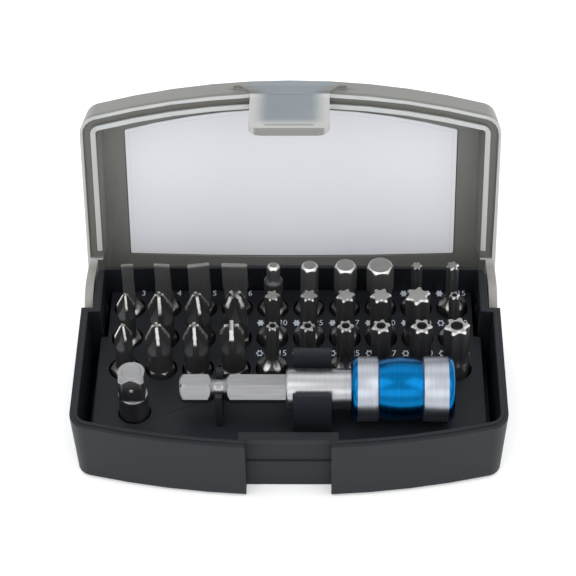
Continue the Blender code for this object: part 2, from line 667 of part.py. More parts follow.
def make_adapter():
    seat = add_empty("adapter_seat", (ADAPTER_X, HOLDER_Y, BIT_FOOT_Z))
    square_z = ADAPTER_LENGTH - ADAPTER_SQUARE_LENGTH
    rings = [(hex_section(HEX_FLATS, HEX_CORNER - END_CHAMFER), 0.0),
             (hex_section(HEX_FLATS), END_CHAMFER), (hex_section(HEX_FLATS), ADAPTER_HEX),
             (round_section(ADAPTER_COLLAR_RADIUS), ADAPTER_HEX + 0.3 * MM),
             (round_section(ADAPTER_COLLAR_RADIUS), square_z - 0.4 * MM),
             (round_section(ADAPTER_COLLAR_RADIUS - 0.4 * MM), square_z),
             (square_section(ADAPTER_SQUARE, ADAPTER_CORNER), square_z + 0.4 * MM),
             (square_section(ADAPTER_SQUARE, ADAPTER_CORNER), ADAPTER_LENGTH - 0.5 * MM),
             (square_section(ADAPTER_SQUARE - 1.0 * MM, ADAPTER_CORNER), ADAPTER_LENGTH)]
    adapter = add_object("square_drive_adapter", loft_mesh(
        "square_drive_adapter", [ring_at(points, z) for points, z in rings]),
        "bare_steel", seat)
    pocket_z = ADAPTER_LENGTH - ADAPTER_SQUARE_LENGTH / 2
    pocket_depth = 2 * DETENT_RADIUS + 2 * GAP
    face_y = -ADAPTER_SQUARE / 2
    shape_by(adapter, "DIFFERENCE", cylinder_mesh(
        "ball_pocket", DETENT_RADIUS + GAP, 2 * pocket_depth, (0.0, face_y, pocket_z),
        "Y", 12), seat)
    shade(adapter)
    ball_y = face_y + DETENT_RADIUS * 0.55
    shade(add_object("adapter_ball", ball_mesh("adapter_ball", DETENT_RADIUS, (
        0.0, ball_y, pocket_z)), "bare_steel", seat))


# --- quick-release holder ---------------------------------------------------------------------
def ring24(radius_at):
    return [(radius_at(15 * i) * math.cos(math.radians(15 * i)),
             radius_at(15 * i) * math.sin(math.radians(15 * i))) for i in range(24)]


def hex24(flats, limit=None):
    """Twenty-four points on a hexagon whose corners lie on the Y axis."""
    def radius_at(degrees):
        off_flat = math.radians((degrees + 30.0) % 60.0 - 30.0)
        radius = flats / 2 / math.cos(off_flat)
        return radius if limit is None else min(radius, limit)
    return ring24(radius_at)


def round24(radius):
    return ring24(lambda degrees: radius)


def make_holder():
    axis = add_empty("holder_axis", (HOLDER_X, HOLDER_Y, HOLDER_Z), (0.0, math.radians(90), 0.0))
    socket_x = NOSE_X - SOCKET_DEPTH
    pocket_x = socket_x - MAGNET_LENGTH - 2 * GAP
    seat_start = RING_X - GAP
    seat_end = RING_X + RING_WIDTH + GAP
    rings = [
        (hex24(HEX_FLATS, HEX_CORNER - SHANK_CHAMFER), SHANK_START_X),
        (hex24(HEX_FLATS), SHANK_START_X + SHANK_CHAMFER),
        (hex24(HEX_FLATS), NECK_X - NECK_HALF_LENGTH),
        (round24(NECK_RADIUS), NECK_X - NECK_FLOOR), (round24(NECK_RADIUS), NECK_X + NECK_FLOOR),
        (hex24(HEX_FLATS), NECK_X + NECK_HALF_LENGTH), (hex24(HEX_FLATS), BODY_START_X),
        (round24(BODY_RADIUS - BODY_CHAMFER), BODY_START_X + SLICE),
        (round24(BODY_RADIUS), BODY_START_X + BODY_CHAMFER),
        (round24(BODY_RADIUS), SHOULDER_X), (round24(BARREL_RADIUS), SHOULDER_X),
        (round24(BARREL_RADIUS), seat_start), (round24(RING_SEAT), seat_start),
        (round24(RING_SEAT), seat_end), (round24(BARREL_RADIUS), seat_end),
        (round24(BARREL_RADIUS), NOSE_X - BODY_CHAMFER),
        (round24(BARREL_RADIUS - BODY_CHAMFER), NOSE_X),
        (hex24(SOCKET_FLATS), NOSE_X), (hex24(SOCKET_FLATS), socket_x),
        (round24(MAGNET_RADIUS + GAP), socket_x), (round24(MAGNET_RADIUS + GAP), pocket_x),
    ]
    body = add_object("holder_body", loft_mesh(
        "holder_body", [ring_at(points, z) for points, z in rings]), "bare_steel", axis)
    shape_by(body, "DIFFERENCE", cylinder_mesh(
        "ball_hole", BALL_RADIUS + GAP, 2 * BARREL_RADIUS, (BARREL_RADIUS, 0.0, BALL_X),
        "X", 12), axis)
    shade(body)

    magnet = add_object("holder_magnet", cylinder_mesh(
        "holder_magnet", MAGNET_RADIUS, MAGNET_LENGTH,
        (0.0, 0.0, socket_x - GAP - MAGNET_LENGTH / 2), sides=16), "magnet_nickel", axis)
    shade(magnet)

    shade(add_object("lock_ball", ball_mesh("lock_ball", BALL_RADIUS, (
        BALL_CENTRE, 0.0, BALL_X)), "bare_steel", axis))

    ring_inner = RING_SEAT + GAP
    shade(turned("retaining_ring", [
        (RING_OUTER, RING_X + RING_WIDTH), (RING_OUTER, RING_X),
        (ring_inner, RING_X), (ring_inner, RING_X + RING_WIDTH)], "spring_steel", axis))
    make_sleeve(axis)
    make_spring(axis)


def sleeve_outside():
    """The sleeve's outer profile from its mouth back to its inner end."""
    rise = SLEEVE_END_ROUND
    grip_middle = (SLEEVE_GRIP_START_X + SLEEVE_GRIP_END_X) / 2
    grip_half = (SLEEVE_GRIP_END_X - SLEEVE_GRIP_START_X) / 2
    soft = 0.3 * rise
    points = [(SLEEVE_RADIUS - rise, SLEEVE_END_X), (SLEEVE_RADIUS - soft, SLEEVE_END_X - soft),
              (SLEEVE_RADIUS, SLEEVE_END_X - rise),
              (SLEEVE_RADIUS, SLEEVE_GRIP_END_X + SLEEVE_GROOVE_RAMP),
              (SLEEVE_WAIST_RADIUS, SLEEVE_GRIP_END_X)]
    for step in range(1, 6):
        place = 1 - step / 3
        crown = SLEEVE_GROOVE * (1 - place * place)
        points.append((SLEEVE_WAIST_RADIUS + crown, grip_middle + place * grip_half))
    points += [(SLEEVE_WAIST_RADIUS, SLEEVE_GRIP_START_X),
               (SLEEVE_RADIUS, SLEEVE_GRIP_START_X - SLEEVE_GROOVE_RAMP),
               (SLEEVE_RADIUS, SLEEVE_START_X + rise),
               (SLEEVE_RADIUS - soft, SLEEVE_START_X + soft),
               (SLEEVE_RADIUS - rise, SLEEVE_START_X)]
    return points


def make_sleeve(axis):
    rear_bore = BODY_RADIUS + GAP
    front_bore = BARREL_RADIUS + GAP
    land_end = RING_X - GAP
    inside = [(rear_bore, SLEEVE_START_X), (rear_bore, CHAMBER_START_X),
              (CHAMBER_RADIUS, CHAMBER_START_X), (CHAMBER_RADIUS, CHAMBER_END_X),
              (front_bore, CHAMBER_END_X), (front_bore, land_end),
              (MOUTH_RADIUS, land_end), (MOUTH_RADIUS, SLEEVE_END_X)]
    shade(turned("release_sleeve", sleeve_outside() + inside, "blue_anodised", axis), 25.0)


def make_spring(axis):
    """A helix between the body's shoulder and the sleeve's front land."""
    start = SHOULDER_X + GAP + SPRING_WIRE / 2
    end = CHAMBER_END_X - GAP - SPRING_WIRE / 2
    curve = bpy.data.curves.new("sleeve_spring", "CURVE")
    curve.dimensions = "3D"
    curve.bevel_depth = SPRING_WIRE / 2
    curve.bevel_resolution = 1
    curve.use_fill_caps = True
    spline = curve.splines.new("POLY")
    count = SPRING_TURNS * SPRING_POINTS + 1
    spline.points.add(count - 1)
    for index in range(count):
        share = index / (count - 1)
        angle = 2 * math.pi * SPRING_TURNS * share
        spline.points[index].co = (SPRING_RADIUS * math.cos(angle),
                                   SPRING_RADIUS * math.sin(angle),
                                   start + (end - start) * share, 1.0)
    curve.materials.append(MATERIALS["spring_steel"])
    spring = bpy.data.objects.new("sleeve_spring", curve)
    spring.parent = axis
    PARTS.objects.link(spring)


# --- lid ------------------------------------------------------------------------------------------
def make_lid():
    """The lid is drawn closed, in case coordinates, under an empty on the hinge line that
    turns it open."""
    hinge = add_empty("lid_hinge_line", (0.0, PIVOT_Y, PIVOT_Z),
                      (math.radians(-OPEN_ANGLE), 0.0, 0.0))
    closed_place = Matrix.Translation((0.0, -PIVOT_Y, -PIVOT_Z))
    outer = Outline(CASE_HALF_WIDTH, CASE_HALF_WIDTH, EAR_NOTCH_Y, CASE_FRONT_Y,
                    PIVOT_Y + LID_BACK_REACH, CASE_CORNER, LID_BACK_CORNER)
    edge_z = CASE_HEIGHT - RIM_LEDGE_DROP + GAP
    top_z = CASE_HEIGHT + LID_DEPTH
    ceiling_z = top_z - LID_TOP_WALL
    front_wall = LID_EDGE_WALL + LID_GROOVE + LID_TONGUE
    ear_inner = CASE_REAR_HALF_WIDTH + EAR_CLEARANCE
    inner = Outline(CASE_HALF_WIDTH - front_wall, ear_inner, EAR_NOTCH_Y + GAP,
                    CASE_FRONT_Y + front_wall, PIVOT_Y + LID_BACK_REACH - LID_BACK_WALL,
                    max(CASE_CORNER - front_wall, LEAST_CORNER),
                    LID_BACK_CORNER - LID_BACK_WALL)

    def back_at(z):
        return LID_BACK_LEAN * (z - edge_z) / (top_z - edge_z)

    def side_at(z):
        return LID_DRAFT * (z - edge_z) / (top_z - edge_z)

    rings = []
    for edge in (LID_TOP_EDGE, 0.3 * LID_TOP_EDGE, 0.0):
        z = top_z - (LID_TOP_EDGE - edge)
        rings.append(ring_at(outer.points(side_at(z) + edge, back_at(z) + edge), z))
    rings += [ring_at(outer.points(), edge_z), ring_at(inner.points(), edge_z),
              ring_at(inner.points(side_at(ceiling_z), back_at(ceiling_z)), ceiling_z)]
    shell_mesh = loft_mesh("lid_shell", rings)
    shell_mesh.transform(closed_place)
    lid = add_object("lid_shell", shell_mesh, "smoky_plastic", hinge)

    groove_outer = outer.front_part(LID_EDGE_WALL)
    tongue_x = CASE_HALF_WIDTH - LID_EDGE_WALL - LID_GROOVE
    tongue_end_y = EAR_NOTCH_Y - CASE_WALL - GAP
    inside_x = CASE_HALF_WIDTH - front_wall - WELD
    groove_inner = outer.front_part(LID_EDGE_WALL + LID_GROOVE)[:-1]
    groove_inner += [(tongue_x, tongue_end_y), (inside_x, tongue_end_y), (inside_x, EAR_NOTCH_Y)]
    groove_line = [(-x, y) for x, y in reversed(groove_outer[1:])] + groove_outer
    groove_line += list(reversed(groove_inner)) + [(-x, y) for x, y in groove_inner[1:]]
    groove = loft_mesh("groove", [ring_at(groove_line, z) for z in
                                  (edge_z - CLEARANCE_CUT, edge_z + LID_GROOVE_DEPTH)])
    groove.transform(closed_place)
    shape_by(lid, "DIFFERENCE", groove, hinge)

    tab_bottom = CASE_HEIGHT - TAB_DROP
    corner_z = tab_bottom + TAB_CORNER
    flare_z = edge_z + GAP
    root_z = flare_z + TAB_FLARE
    tab_line = arc_points((TAB_HALF_WIDTH + TAB_FLARE, flare_z), TAB_FLARE, math.pi / 2,
                          math.pi, 5)
    tab_line += arc_points((TAB_HALF_WIDTH - TAB_CORNER, corner_z), TAB_CORNER, 0.0,
                           -math.pi / 2, 4)
    tab_line += [(-x, z) for x, z in reversed(tab_line)]
    slope = TAB_LEAN / (root_z - tab_bottom)
    tab = loft_mesh("latch_tab", [
        [(x, y + slope * (root_z - z), z) for x, z in tab_line]
        for y in (CASE_FRONT_Y, CASE_FRONT_Y + TAB_THICKNESS)])
    tab.transform(closed_place)
    shape_by(lid, "UNION", tab, hinge)

    ear_top = edge_z - PIVOT_Z + WELD
    ear_line = [(-EAR_RADIUS, ear_top)]
    ear_line += arc_points((0.0, 0.0), EAR_RADIUS, math.pi, 2 * math.pi, 12)
    ear_line += [(LID_BACK_REACH - 0.7 * LID_BACK_WALL, ear_top)]
    ear_outer = CASE_HALF_WIDTH - EAR_SETBACK
    for side in (-1, 1):
        ear = loft_mesh("ear", [[(side * x, y, z) for y, z in ear_line]
                                for x in (ear_inner, ear_outer)])
        shape_by(lid, "UNION", ear, hinge)
        stub_end = CASE_REAR_HALF_WIDTH - PIN_REACH
        stub_start = ear_inner + WELD
        stub = cylinder_mesh("stub", PIN_DIAMETER / 2, stub_start - stub_end,
                             (side * (stub_start + stub_end) / 2, 0.0, 0.0), "X")
        shape_by(lid, "UNION", stub, hinge)
    label_front_y = LABEL_CORNER_Y - bow_depth(LABEL_HALF_WIDTH, LABEL_RADIUS)
    label_outline = Outline(LABEL_HALF_WIDTH, LABEL_HALF_WIDTH, 0.0, label_front_y,
                            LABEL_BACK_Y, LABEL_CORNER, LABEL_CORNER, LABEL_RADIUS)
    recess_z = ceiling_z + LABEL_THICKNESS + GAP
    recess = loft_mesh("label_recess", [ring_at(label_outline.points(-GAP), z) for z in
                                        (ceiling_z - WELD, recess_z)])
    recess.transform(closed_place)
    shape_by(lid, "DIFFERENCE", recess, hinge)
    shade(lid)
    label_mesh = loft_mesh("lid_label", [ring_at(label_outline.points(), z) for z in
                                         (ceiling_z, ceiling_z + LABEL_THICKNESS)])
    label_mesh.transform(closed_place)
    add_object("lid_label", label_mesh, "label_foil", hinge)


def bow_depth(half_width, radius):
    return radius - math.sqrt(radius ** 2 - half_width ** 2)


make_base_tub()
make_bit_tray()
for place in bit_places():
    make_bit(*place)
make_adapter()
make_holder()
make_lid()
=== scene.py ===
"""Looks of the screwdriver bit set: ground and turned steel, blue anodising, fine satin
plastic, a smoky lid and printed size marks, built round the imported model.

Lengths in the sizes below are millimetres; everything made is in metres.
"""

import json
import math

import bmesh
import bpy
import numpy as np
from mathutils import Matrix, Vector

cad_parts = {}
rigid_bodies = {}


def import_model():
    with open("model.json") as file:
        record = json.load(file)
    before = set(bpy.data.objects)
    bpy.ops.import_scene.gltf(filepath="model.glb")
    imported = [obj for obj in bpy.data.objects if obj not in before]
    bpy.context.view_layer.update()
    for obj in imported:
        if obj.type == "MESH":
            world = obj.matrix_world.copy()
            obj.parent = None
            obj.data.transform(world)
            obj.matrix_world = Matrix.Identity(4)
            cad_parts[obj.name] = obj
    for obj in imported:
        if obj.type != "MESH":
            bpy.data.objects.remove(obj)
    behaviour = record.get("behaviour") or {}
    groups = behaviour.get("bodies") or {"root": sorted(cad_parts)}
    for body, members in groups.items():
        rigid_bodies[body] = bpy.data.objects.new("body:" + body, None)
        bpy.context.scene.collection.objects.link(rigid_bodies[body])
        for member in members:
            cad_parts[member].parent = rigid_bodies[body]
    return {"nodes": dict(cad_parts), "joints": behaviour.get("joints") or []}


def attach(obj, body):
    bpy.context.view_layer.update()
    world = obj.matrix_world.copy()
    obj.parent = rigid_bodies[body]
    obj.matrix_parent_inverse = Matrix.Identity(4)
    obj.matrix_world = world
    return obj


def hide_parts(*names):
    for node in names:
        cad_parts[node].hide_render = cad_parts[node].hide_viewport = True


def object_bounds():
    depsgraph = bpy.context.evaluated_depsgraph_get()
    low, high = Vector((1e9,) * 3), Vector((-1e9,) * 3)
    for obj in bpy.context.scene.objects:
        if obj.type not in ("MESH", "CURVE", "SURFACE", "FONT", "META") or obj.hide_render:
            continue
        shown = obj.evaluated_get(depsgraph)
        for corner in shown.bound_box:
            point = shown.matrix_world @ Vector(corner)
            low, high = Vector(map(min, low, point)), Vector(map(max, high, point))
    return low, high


for leftover in list(bpy.data.objects):
    bpy.data.objects.remove(leftover)
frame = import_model()
CAD_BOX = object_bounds()

MM = 0.001
PER_METRE = 1000.0                  # millimetres
NODES = frame["nodes"]
JOINTS = {joint["name"]: joint for joint in frame["joints"]}

# --- sizes shared with the model -------------------------------------------------
DECK_Z = 11.1
COLUMN_PITCH = 9.2
FRONT_ROW_Y = 1.7
ROW_PITCH = 10.8
HEX_FLATS = 6.35
HEX_CORNER = HEX_FLATS / math.sqrt(3)
HEX_END = 9.2                       # end of a bit's full hexagon, from its foot
SHOULDER_LENGTH = 1.9               # of the cone from a bit's hexagon to its neck
NO_SHOULDER = 9.0                   # neck radius of the kinds that run into the hexagon
BIT_LENGTH = 25.0
HOLDER_X = -0.6                     # the holder's own X values count from here
HOLDER_Y = -13.1
HOLDER_Z = 19.35
DRAWN_END_X = HOLDER_X - 0.4        # where the holder's drawn hexagon meets its turned body
ADAPTER_X = -38.0
BIT_FOOT_Z = 1.3
PIVOT = (0.0, 25.5, 9.6)
OPEN_ANGLE = 102.0
LID_EDGE_Z = 18.3                   # heights of the shut lid
LID_CEILING_Z = 27.6
GROOVE_Z = 19.5
TAB_TIP_Z = 1.5
TAB_FRONT_Y = -30.0                 # what is in front of this is the latch tab
TAB_SIDE_X = 12.0
EAR_X = 48.5                        # what is outside of this and low is an ear
LABEL_HALF_WIDTH = 42.5
LABEL_BACK_Y = 21.0
LABEL_FRONT_Y = -22.33              # of its bowed front, in the middle
LABEL_RADIUS = 155.0
BORDER_INSET = 1.0                  # of the thin printed line on the panel
SMOOTH_ANGLE = 38.0
ROUNDED_ANGLE = 28.0                # edges sharper than this get a round
MARK_LIFT = 0.02
MARK_OFFSET_Y = 5.3                 # of a mark from its hole's middle
GLYPH_OFFSET_X = -3.1
NUMBER_END_X = 3.75
NUMBER_SIZE = 2.3

# Cross bits by tip size: flat radius, neck radius, wing thickness, flute radius at the tip
CROSS_TIPS = {2.6: (0.60, 2.25, 0.62, 0.28), 3.6: (1.10, 3.12, 0.92, 0.46),
              5.0: (1.80, 3.00, 1.25, 0.80)}

# Bits from left to right: kind, size name, tip size, turn in degrees
BACK_ROW = (
    ("slot_bit", "3", 3.0, 4), ("slot_bit", "4", 4.0, -6), ("slot_bit", "5", 5.5, 8),
    ("slot_bit", "6", 6.5, -3), ("hex_bit", "3", 3.0, 0), ("hex_bit", "4", 4.0, 10),
    ("hex_bit", "5", 5.0, 0), ("hex_bit", "6", 6.0, 6), ("star_bit", "10", 2.8, 0),
    ("star_bit", "15", 3.3, 12),
)
MIDDLE_ROW = (
    ("cross_bit", "1a", 2.6, -5), ("cross_bit", "2a", 3.6, -12), ("cross_bit", "2b", 3.6, 0),
    ("cross_bit", "3a", 5.0, 30), ("star_bit", "20", 3.9, 8), ("star_bit", "25", 4.4, 0),
    ("star_bit", "27", 5.0, 15), ("star_bit", "30", 5.5, 4), ("star_bit", "40", 6.6, 20),
    ("pin_star_bit", "10", 2.8, 8),
)
FRONT_ROW = (
    ("cross_bit", "1b", 2.6, 5), ("cross_bit", "2c", 3.6, -8), ("cross_bit", "2d", 3.6, -12),
    ("cross_bit", "3b", 5.0, -14), ("pin_star_bit", "15", 3.3, 0),
    ("pin_star_bit", "20", 3.9, 10), ("pin_star_bit", "25", 4.4, 4),
    ("pin_star_bit", "27", 5.0, 16), ("pin_star_bit", "30", 5.5, 0),
    ("pin_star_bit", "40", 6.6, 10),
)


def linear(red, green, blue):
    """A screen colour of 0 to 255 as a scene colour."""
    return tuple((c / 255 / 12.92 if c <= 10 else ((c / 255 + 0.055) / 1.055) ** 2.4)
                 for c in (red, green, blue)) + (1.0,)


# --- shader maths -------------------------------------------------------------------
class Value:
    """A shader socket that takes part in sums."""

    def __init__(self, finish, socket):
        self.finish = finish
        self.socket = socket

    def maths(self, operation, first, second):
        return self.finish.node("Math", {"operation": operation}, {0: first, 1: second})

    def __add__(self, other):
        return self.maths("ADD", self, other)

    def __radd__(self, other):
        return self.maths("ADD", other, self)

    def __sub__(self, other):
        return self.maths("SUBTRACT", self, other)

    def __rsub__(self, other):
        return self.maths("SUBTRACT", other, self)

    def __mul__(self, other):
        return self.maths("MULTIPLY", self, other)

    def __rmul__(self, other):
        return self.maths("MULTIPLY", other, self)

    def __abs__(self):
        return self.maths("ABSOLUTE", self, 0.0)


class Finish:
    """One Principled material and the few node patterns that this object's finishes use."""

    def __init__(self, name, constants):
        self.material = bpy.data.materials.new(name)
        self.material.use_nodes = True
        self.tree = self.material.node_tree
        self.shader = self.tree.nodes["Principled BSDF"]
        for socket, value in constants.items():
            self.shader.inputs[socket].default_value = value

    def node(self, kind, settings=None, inputs=None, output=0):
        made = self.tree.nodes.new("ShaderNode" + kind)
        for setting, value in (settings or {}).items():
            setattr(made, setting, value)
        for socket, value in (inputs or {}).items():
            self.feed(made.inputs[socket], value)
        return Value(self, made.outputs[output])

    def feed(self, socket, value):
        if isinstance(value, Value):
            self.tree.links.new(value.socket, socket)
        else:
            socket.default_value = value

    def place(self):
        return self.node("TexCoord", output=3)

    def along(self, place, axis):
        """One coordinate in millimetres."""
        return self.node("SeparateXYZ", inputs={0: place}, output="XYZ".index(axis)) * PER_METRE

    def noise(self, place, stretch=(1.0, 1.0, 1.0), scale=1000.0, detail=3.0):
        """Fine noise of 0 to 1; scale counts features in a metre."""
        moved = self.node("Mapping", {"vector_type": "POINT"}, {0: place, "Scale": stretch})
        return self.node("TexNoise", inputs={"Vector": moved, "Scale": scale, "Detail": detail,
                                             "Roughness": 0.55})

    def rise(self, value, low, high):
        """0 below low, 1 above high, with a soft step between."""
        return self.node("MapRange", {"interpolation_type": "SMOOTHSTEP"},
                         {0: value, 1: low, 2: high})

    def fall(self, value, low, high):
        """1 below low, 0 above high."""
        return 1.0 - self.rise(value, low, high)

    def larger(self, first, second):
        return self.node("Math", {"operation": "MAXIMUM"}, {0: first, 1: second})

    def mix(self, share, first, second):
        return self.node("Mix", {"data_type": "RGBA"}, {0: share, 6: first, 7: second}, 2)

    def paint(self, **links):
        for socket, value in links.items():
            self.feed(self.shader.inputs[socket.replace("_", " ").title()], value)

    def relief(self, height, strength, distance):
        self.feed(self.shader.inputs["Normal"], self.node(
            "Bump", inputs={"Strength": strength, "Distance": distance, "Height": height}))


# --- materials ------------------------------------------------------------------------
def satin_plastic(name, colour, paler, roughness):
    """Moulded plastic: spark-eroded grain, a slow drift of shade and faint rubs."""
    finish = Finish(name, {"Specular IOR Level": 0.28})
    place = finish.place()
    drift = finish.noise(place, scale=35.0, detail=2.0)
    grain = finish.noise(place, scale=3200.0, detail=2.0)
    rub = finish.rise(finish.noise(place, (1.0, 0.15, 0.6), 420.0), 0.62, 0.75)
    finish.paint(base_color=finish.mix(drift * 0.6 + grain * 0.4, colour, paler),
                 roughness=roughness + 0.10 * grain - 0.06 * rub)
    finish.relief(grain, 0.10, 0.00004)
    return finish.material


def shut_place(finish):
    """Object coordinates of the open lid, turned to where the shut lid has them."""
    turn = Matrix.Rotation(math.radians(OPEN_ANGLE), 3, "X")
    pivot = Vector(PIVOT) * MM
    return finish.node("Mapping", {"vector_type": "POINT"}, {
        0: finish.place(), "Location": tuple(pivot - turn @ pivot),
        "Rotation": (math.radians(OPEN_ANGLE), 0.0, 0.0)})


def smoky_plastic():
    """Smoky clear plastic, frosted inside, drawn opaque: painted light makes its rim and thick
    edges pale where light would leave them, painted shade darkens the groove, and it is blue-grey
    over the latch tab."""
    finish = Finish("lid_smoky_plastic", {
        "IOR": 1.49, "Subsurface Weight": 0.15, "Subsurface Radius": (0.003, 0.003, 0.003),
        "Specular IOR Level": 0.4, "Coat Weight": 0.15, "Coat Roughness": 0.15})
    place = shut_place(finish)
    side = abs(finish.along(place, "X"))
    depth = finish.along(place, "Y")
    height = finish.along(place, "Z")
    haze = finish.noise(place, scale=60.0, detail=4.0)
    flow = finish.noise(place, (1.0, 0.2, 1.0), 240.0)
    # painted light: the rim is painted pale where light would leave the clear plastic
    rim = finish.fall(height, LID_EDGE_Z + 0.1, LID_EDGE_Z + 0.8)
    # painted shade: a dark band where the groove faces away from the light
    groove = (finish.rise(height, GROOVE_Z - 0.7, GROOVE_Z - 0.2)
              * finish.fall(height, GROOVE_Z + 0.3, GROOVE_Z + 1.6))
    outside = finish.rise(height, LID_CEILING_Z + 0.5, LID_CEILING_Z + 1.3)
    near_tab = finish.fall(side, TAB_SIDE_X, TAB_SIDE_X + 0.5)
    tab_front = finish.fall(depth, TAB_FRONT_Y, TAB_FRONT_Y + 0.8)
    spread = side - 3.5 * finish.rise(height, LID_EDGE_Z + 1.0, LID_EDGE_Z + 7.0)
    tab_middle = (finish.fall(spread, 5.0, 9.4)
                  * finish.rise(height, TAB_TIP_Z + 1.6, TAB_TIP_Z + 5.5) * tab_front)
    tab_line = (finish.rise(height, TAB_TIP_Z + 1.5, TAB_TIP_Z + 1.9)
                * finish.fall(height, TAB_TIP_Z + 2.2, TAB_TIP_Z + 2.7)
                * finish.fall(side, 5.6, 6.6) * tab_front)
    # painted light: the frosted tab below the edge is painted pale, as light coming through it
    # would make it
    frosted_tab_light = near_tab * finish.fall(height, LID_EDGE_Z - 2.3, LID_EDGE_Z - 0.3)
    tab_tip = near_tab * finish.fall(height, TAB_TIP_Z + 0.3, TAB_TIP_Z + 0.9)
    ear = finish.rise(side, EAR_X, EAR_X + 0.5) * finish.fall(height, 15.0, 20.0)

    inside = finish.mix(haze, linear(113, 114, 109), linear(128, 128, 123))
    # painted light: the pale tone that the rim and its thick edges are painted with
    pale = finish.mix(flow, linear(176, 180, 181), linear(194, 195, 192))
    colour = finish.mix(rim, inside, pale)
    # painted shade in the groove
    colour = finish.mix(groove * 0.7, colour, linear(92, 91, 86))
    colour = finish.mix(outside * 0.8, colour, linear(118, 121, 121))
    # painted light on the frosted tab
    colour = finish.mix(frosted_tab_light * 0.8, colour, linear(176, 175, 172))
    colour = finish.mix(ear, colour, finish.mix(flow, linear(136, 134, 130),
                                                linear(160, 157, 152)))
    colour = finish.mix(tab_middle, colour, finish.mix(haze, linear(110, 118, 126),
                                                       linear(132, 140, 144)))
    colour = finish.mix(tab_line * 0.8, colour, linear(118, 124, 126))
    colour = finish.mix(tab_tip * 0.8, colour, linear(112, 110, 107))
    finish.paint(base_color=colour, roughness=0.34 + 0.16 * haze - 0.06 * rim)
    finish.relief(finish.noise(place, scale=1500.0), 0.05, 0.00003)
    return finish.material


def label_foil():
    """The pale panel: satin laminate with fine print dots and a thin printed border."""
    # painted light: a faint glow that evens out the shade falling on the panel
    finish = Finish("lid_panel", {"Specular IOR Level": 0.3, "Emission Strength": 0.28,
                                  "Emission Color": linear(213, 214, 219)})
    place = shut_place(finish)
    drift = finish.noise(place, scale=20.0, detail=1.0)
    dots = finish.noise(place, scale=2600.0, detail=1.0)
    side = abs(finish.along(place, "X"))
    depth = finish.along(place, "Y")
    bow_centre = (0.0, (LABEL_FRONT_Y + LABEL_RADIUS) * MM, LID_CEILING_Z * MM)
    bow = finish.node("VectorMath", {"operation": "DISTANCE"}, {0: place, 1: bow_centre},
                      1) * PER_METRE
    reach = finish.larger(finish.larger(side - LABEL_HALF_WIDTH, depth - LABEL_BACK_Y),
                          bow - LABEL_RADIUS)
    border = (finish.rise(reach, -BORDER_INSET - 0.15, -BORDER_INSET - 0.05)
              * finish.fall(reach, -BORDER_INSET + 0.05, -BORDER_INSET + 0.15))
    paper = finish.mix(drift * 0.7 + dots * 0.3, linear(198, 199, 204), linear(204, 205, 210))
    finish.paint(base_color=finish.mix(border * 0.35, paper, linear(170, 172, 178)),
                 roughness=0.42 + 0.10 * dots)
    finish.relief(dots, 0.04, 0.00002)
    return finish.material


def bit_steel():
    """Hardened dark steel, bright where a wheel has ground it, with fine grinding lines."""
    finish = Finish("bit_steel", {"Specular IOR Level": 0.4})
    place = finish.place()
    ground = finish.node("Attribute", {"attribute_name": "ground"}, output=2)
    lines = finish.noise(place, (1.0, 1.0, 0.08), 2600.0)
    stain = finish.noise(place, scale=260.0, detail=4.0)
    dark = finish.mix(stain, linear(70, 71, 73), linear(88, 88, 88))
    bright = finish.mix(lines, linear(196, 194, 190), linear(236, 235, 232))
    finish.paint(base_color=finish.mix(ground, dark, bright),
                 metallic=0.65 + 0.3 * ground,
                 roughness=0.28 + 0.12 * stain - 0.04 * ground + 0.06 * lines)
    finish.relief(lines, 0.10, 0.00003)
    return finish.material


def turned_steel(name, axis, drawn_end=None):
    """Satin steel with its lines round the axis. Up to drawn_end it is drawn bar, a little
    darker, with its lines along the axis."""
    finish = Finish(name, {"Metallic": 1.0})
    place = finish.place()
    lines = finish.noise(place, [1.0 if letter == axis else 0.03 for letter in "XYZ"],
                         3600.0)
    if drawn_end is None:
        colour = finish.mix(lines, linear(136, 136, 138), linear(170, 170, 171))
    else:
        drawn = finish.noise(place, [0.04 if letter == axis else 1.0 for letter in "XYZ"],
                             2400.0, 4.0)
        turned = finish.rise(finish.along(place, axis), drawn_end, drawn_end + 0.3)
        lines = turned * lines + (1.0 - turned) * drawn
        colour = finish.mix(turned,
                            finish.mix(lines, linear(136, 136, 138), linear(170, 170, 171)),
                            finish.mix(lines, linear(164, 164, 167), linear(192, 192, 195)))
    finish.paint(base_color=colour, roughness=0.24 + 0.14 * lines)
    finish.relief(lines, 0.12, 0.00003)
    return finish.material


def sleeve_aluminium():
    """Blue anodised aluminium with two bare turned bands."""
    finish = Finish("sleeve_blue_anodised", {"Metallic": 1.0, "Coat Weight": 0.08,
                                             "Coat Roughness": 0.06})
    place = finish.place()
    distance = finish.along(place, "X") - HOLDER_X
    bare = (finish.rise(distance, 17.22, 17.30) * finish.fall(distance, 22.42, 22.50)
            + finish.rise(distance, 32.92, 33.0) * finish.fall(distance, 39.1, 39.18))
    lines = finish.noise(place, (1.0, 0.03, 0.03), 4200.0)
    blue = finish.mix(lines, linear(0, 88, 142), linear(0, 112, 172))
    silver = finish.mix(lines, linear(152, 156, 164), linear(190, 194, 202))
    finish.paint(base_color=finish.mix(bare, blue, silver),
                 roughness=0.20 + 0.10 * lines + 0.10 * bare)
    finish.relief(lines * (0.3 + bare), 0.10, 0.00003)
    return finish.material


def plain_metal(name, colour, roughness):
    finish = Finish(name, {"Metallic": 1.0})
    worn = finish.noise(finish.place(), scale=900.0, detail=3.0)
    dull = tuple(0.8 * c for c in colour[:3]) + (1.0,)
    finish.paint(base_color=finish.mix(worn, dull, colour),
                 roughness=roughness + 0.12 * worn)
    return finish.material


def mark_ink():
    finish = Finish("mark_ink", {"Roughness": 0.5})
    worn = finish.noise(finish.place(), scale=2200.0, detail=2.0)
    finish.paint(base_color=finish.mix(worn, linear(196, 208, 222), linear(228, 234, 242)))
    return finish.material


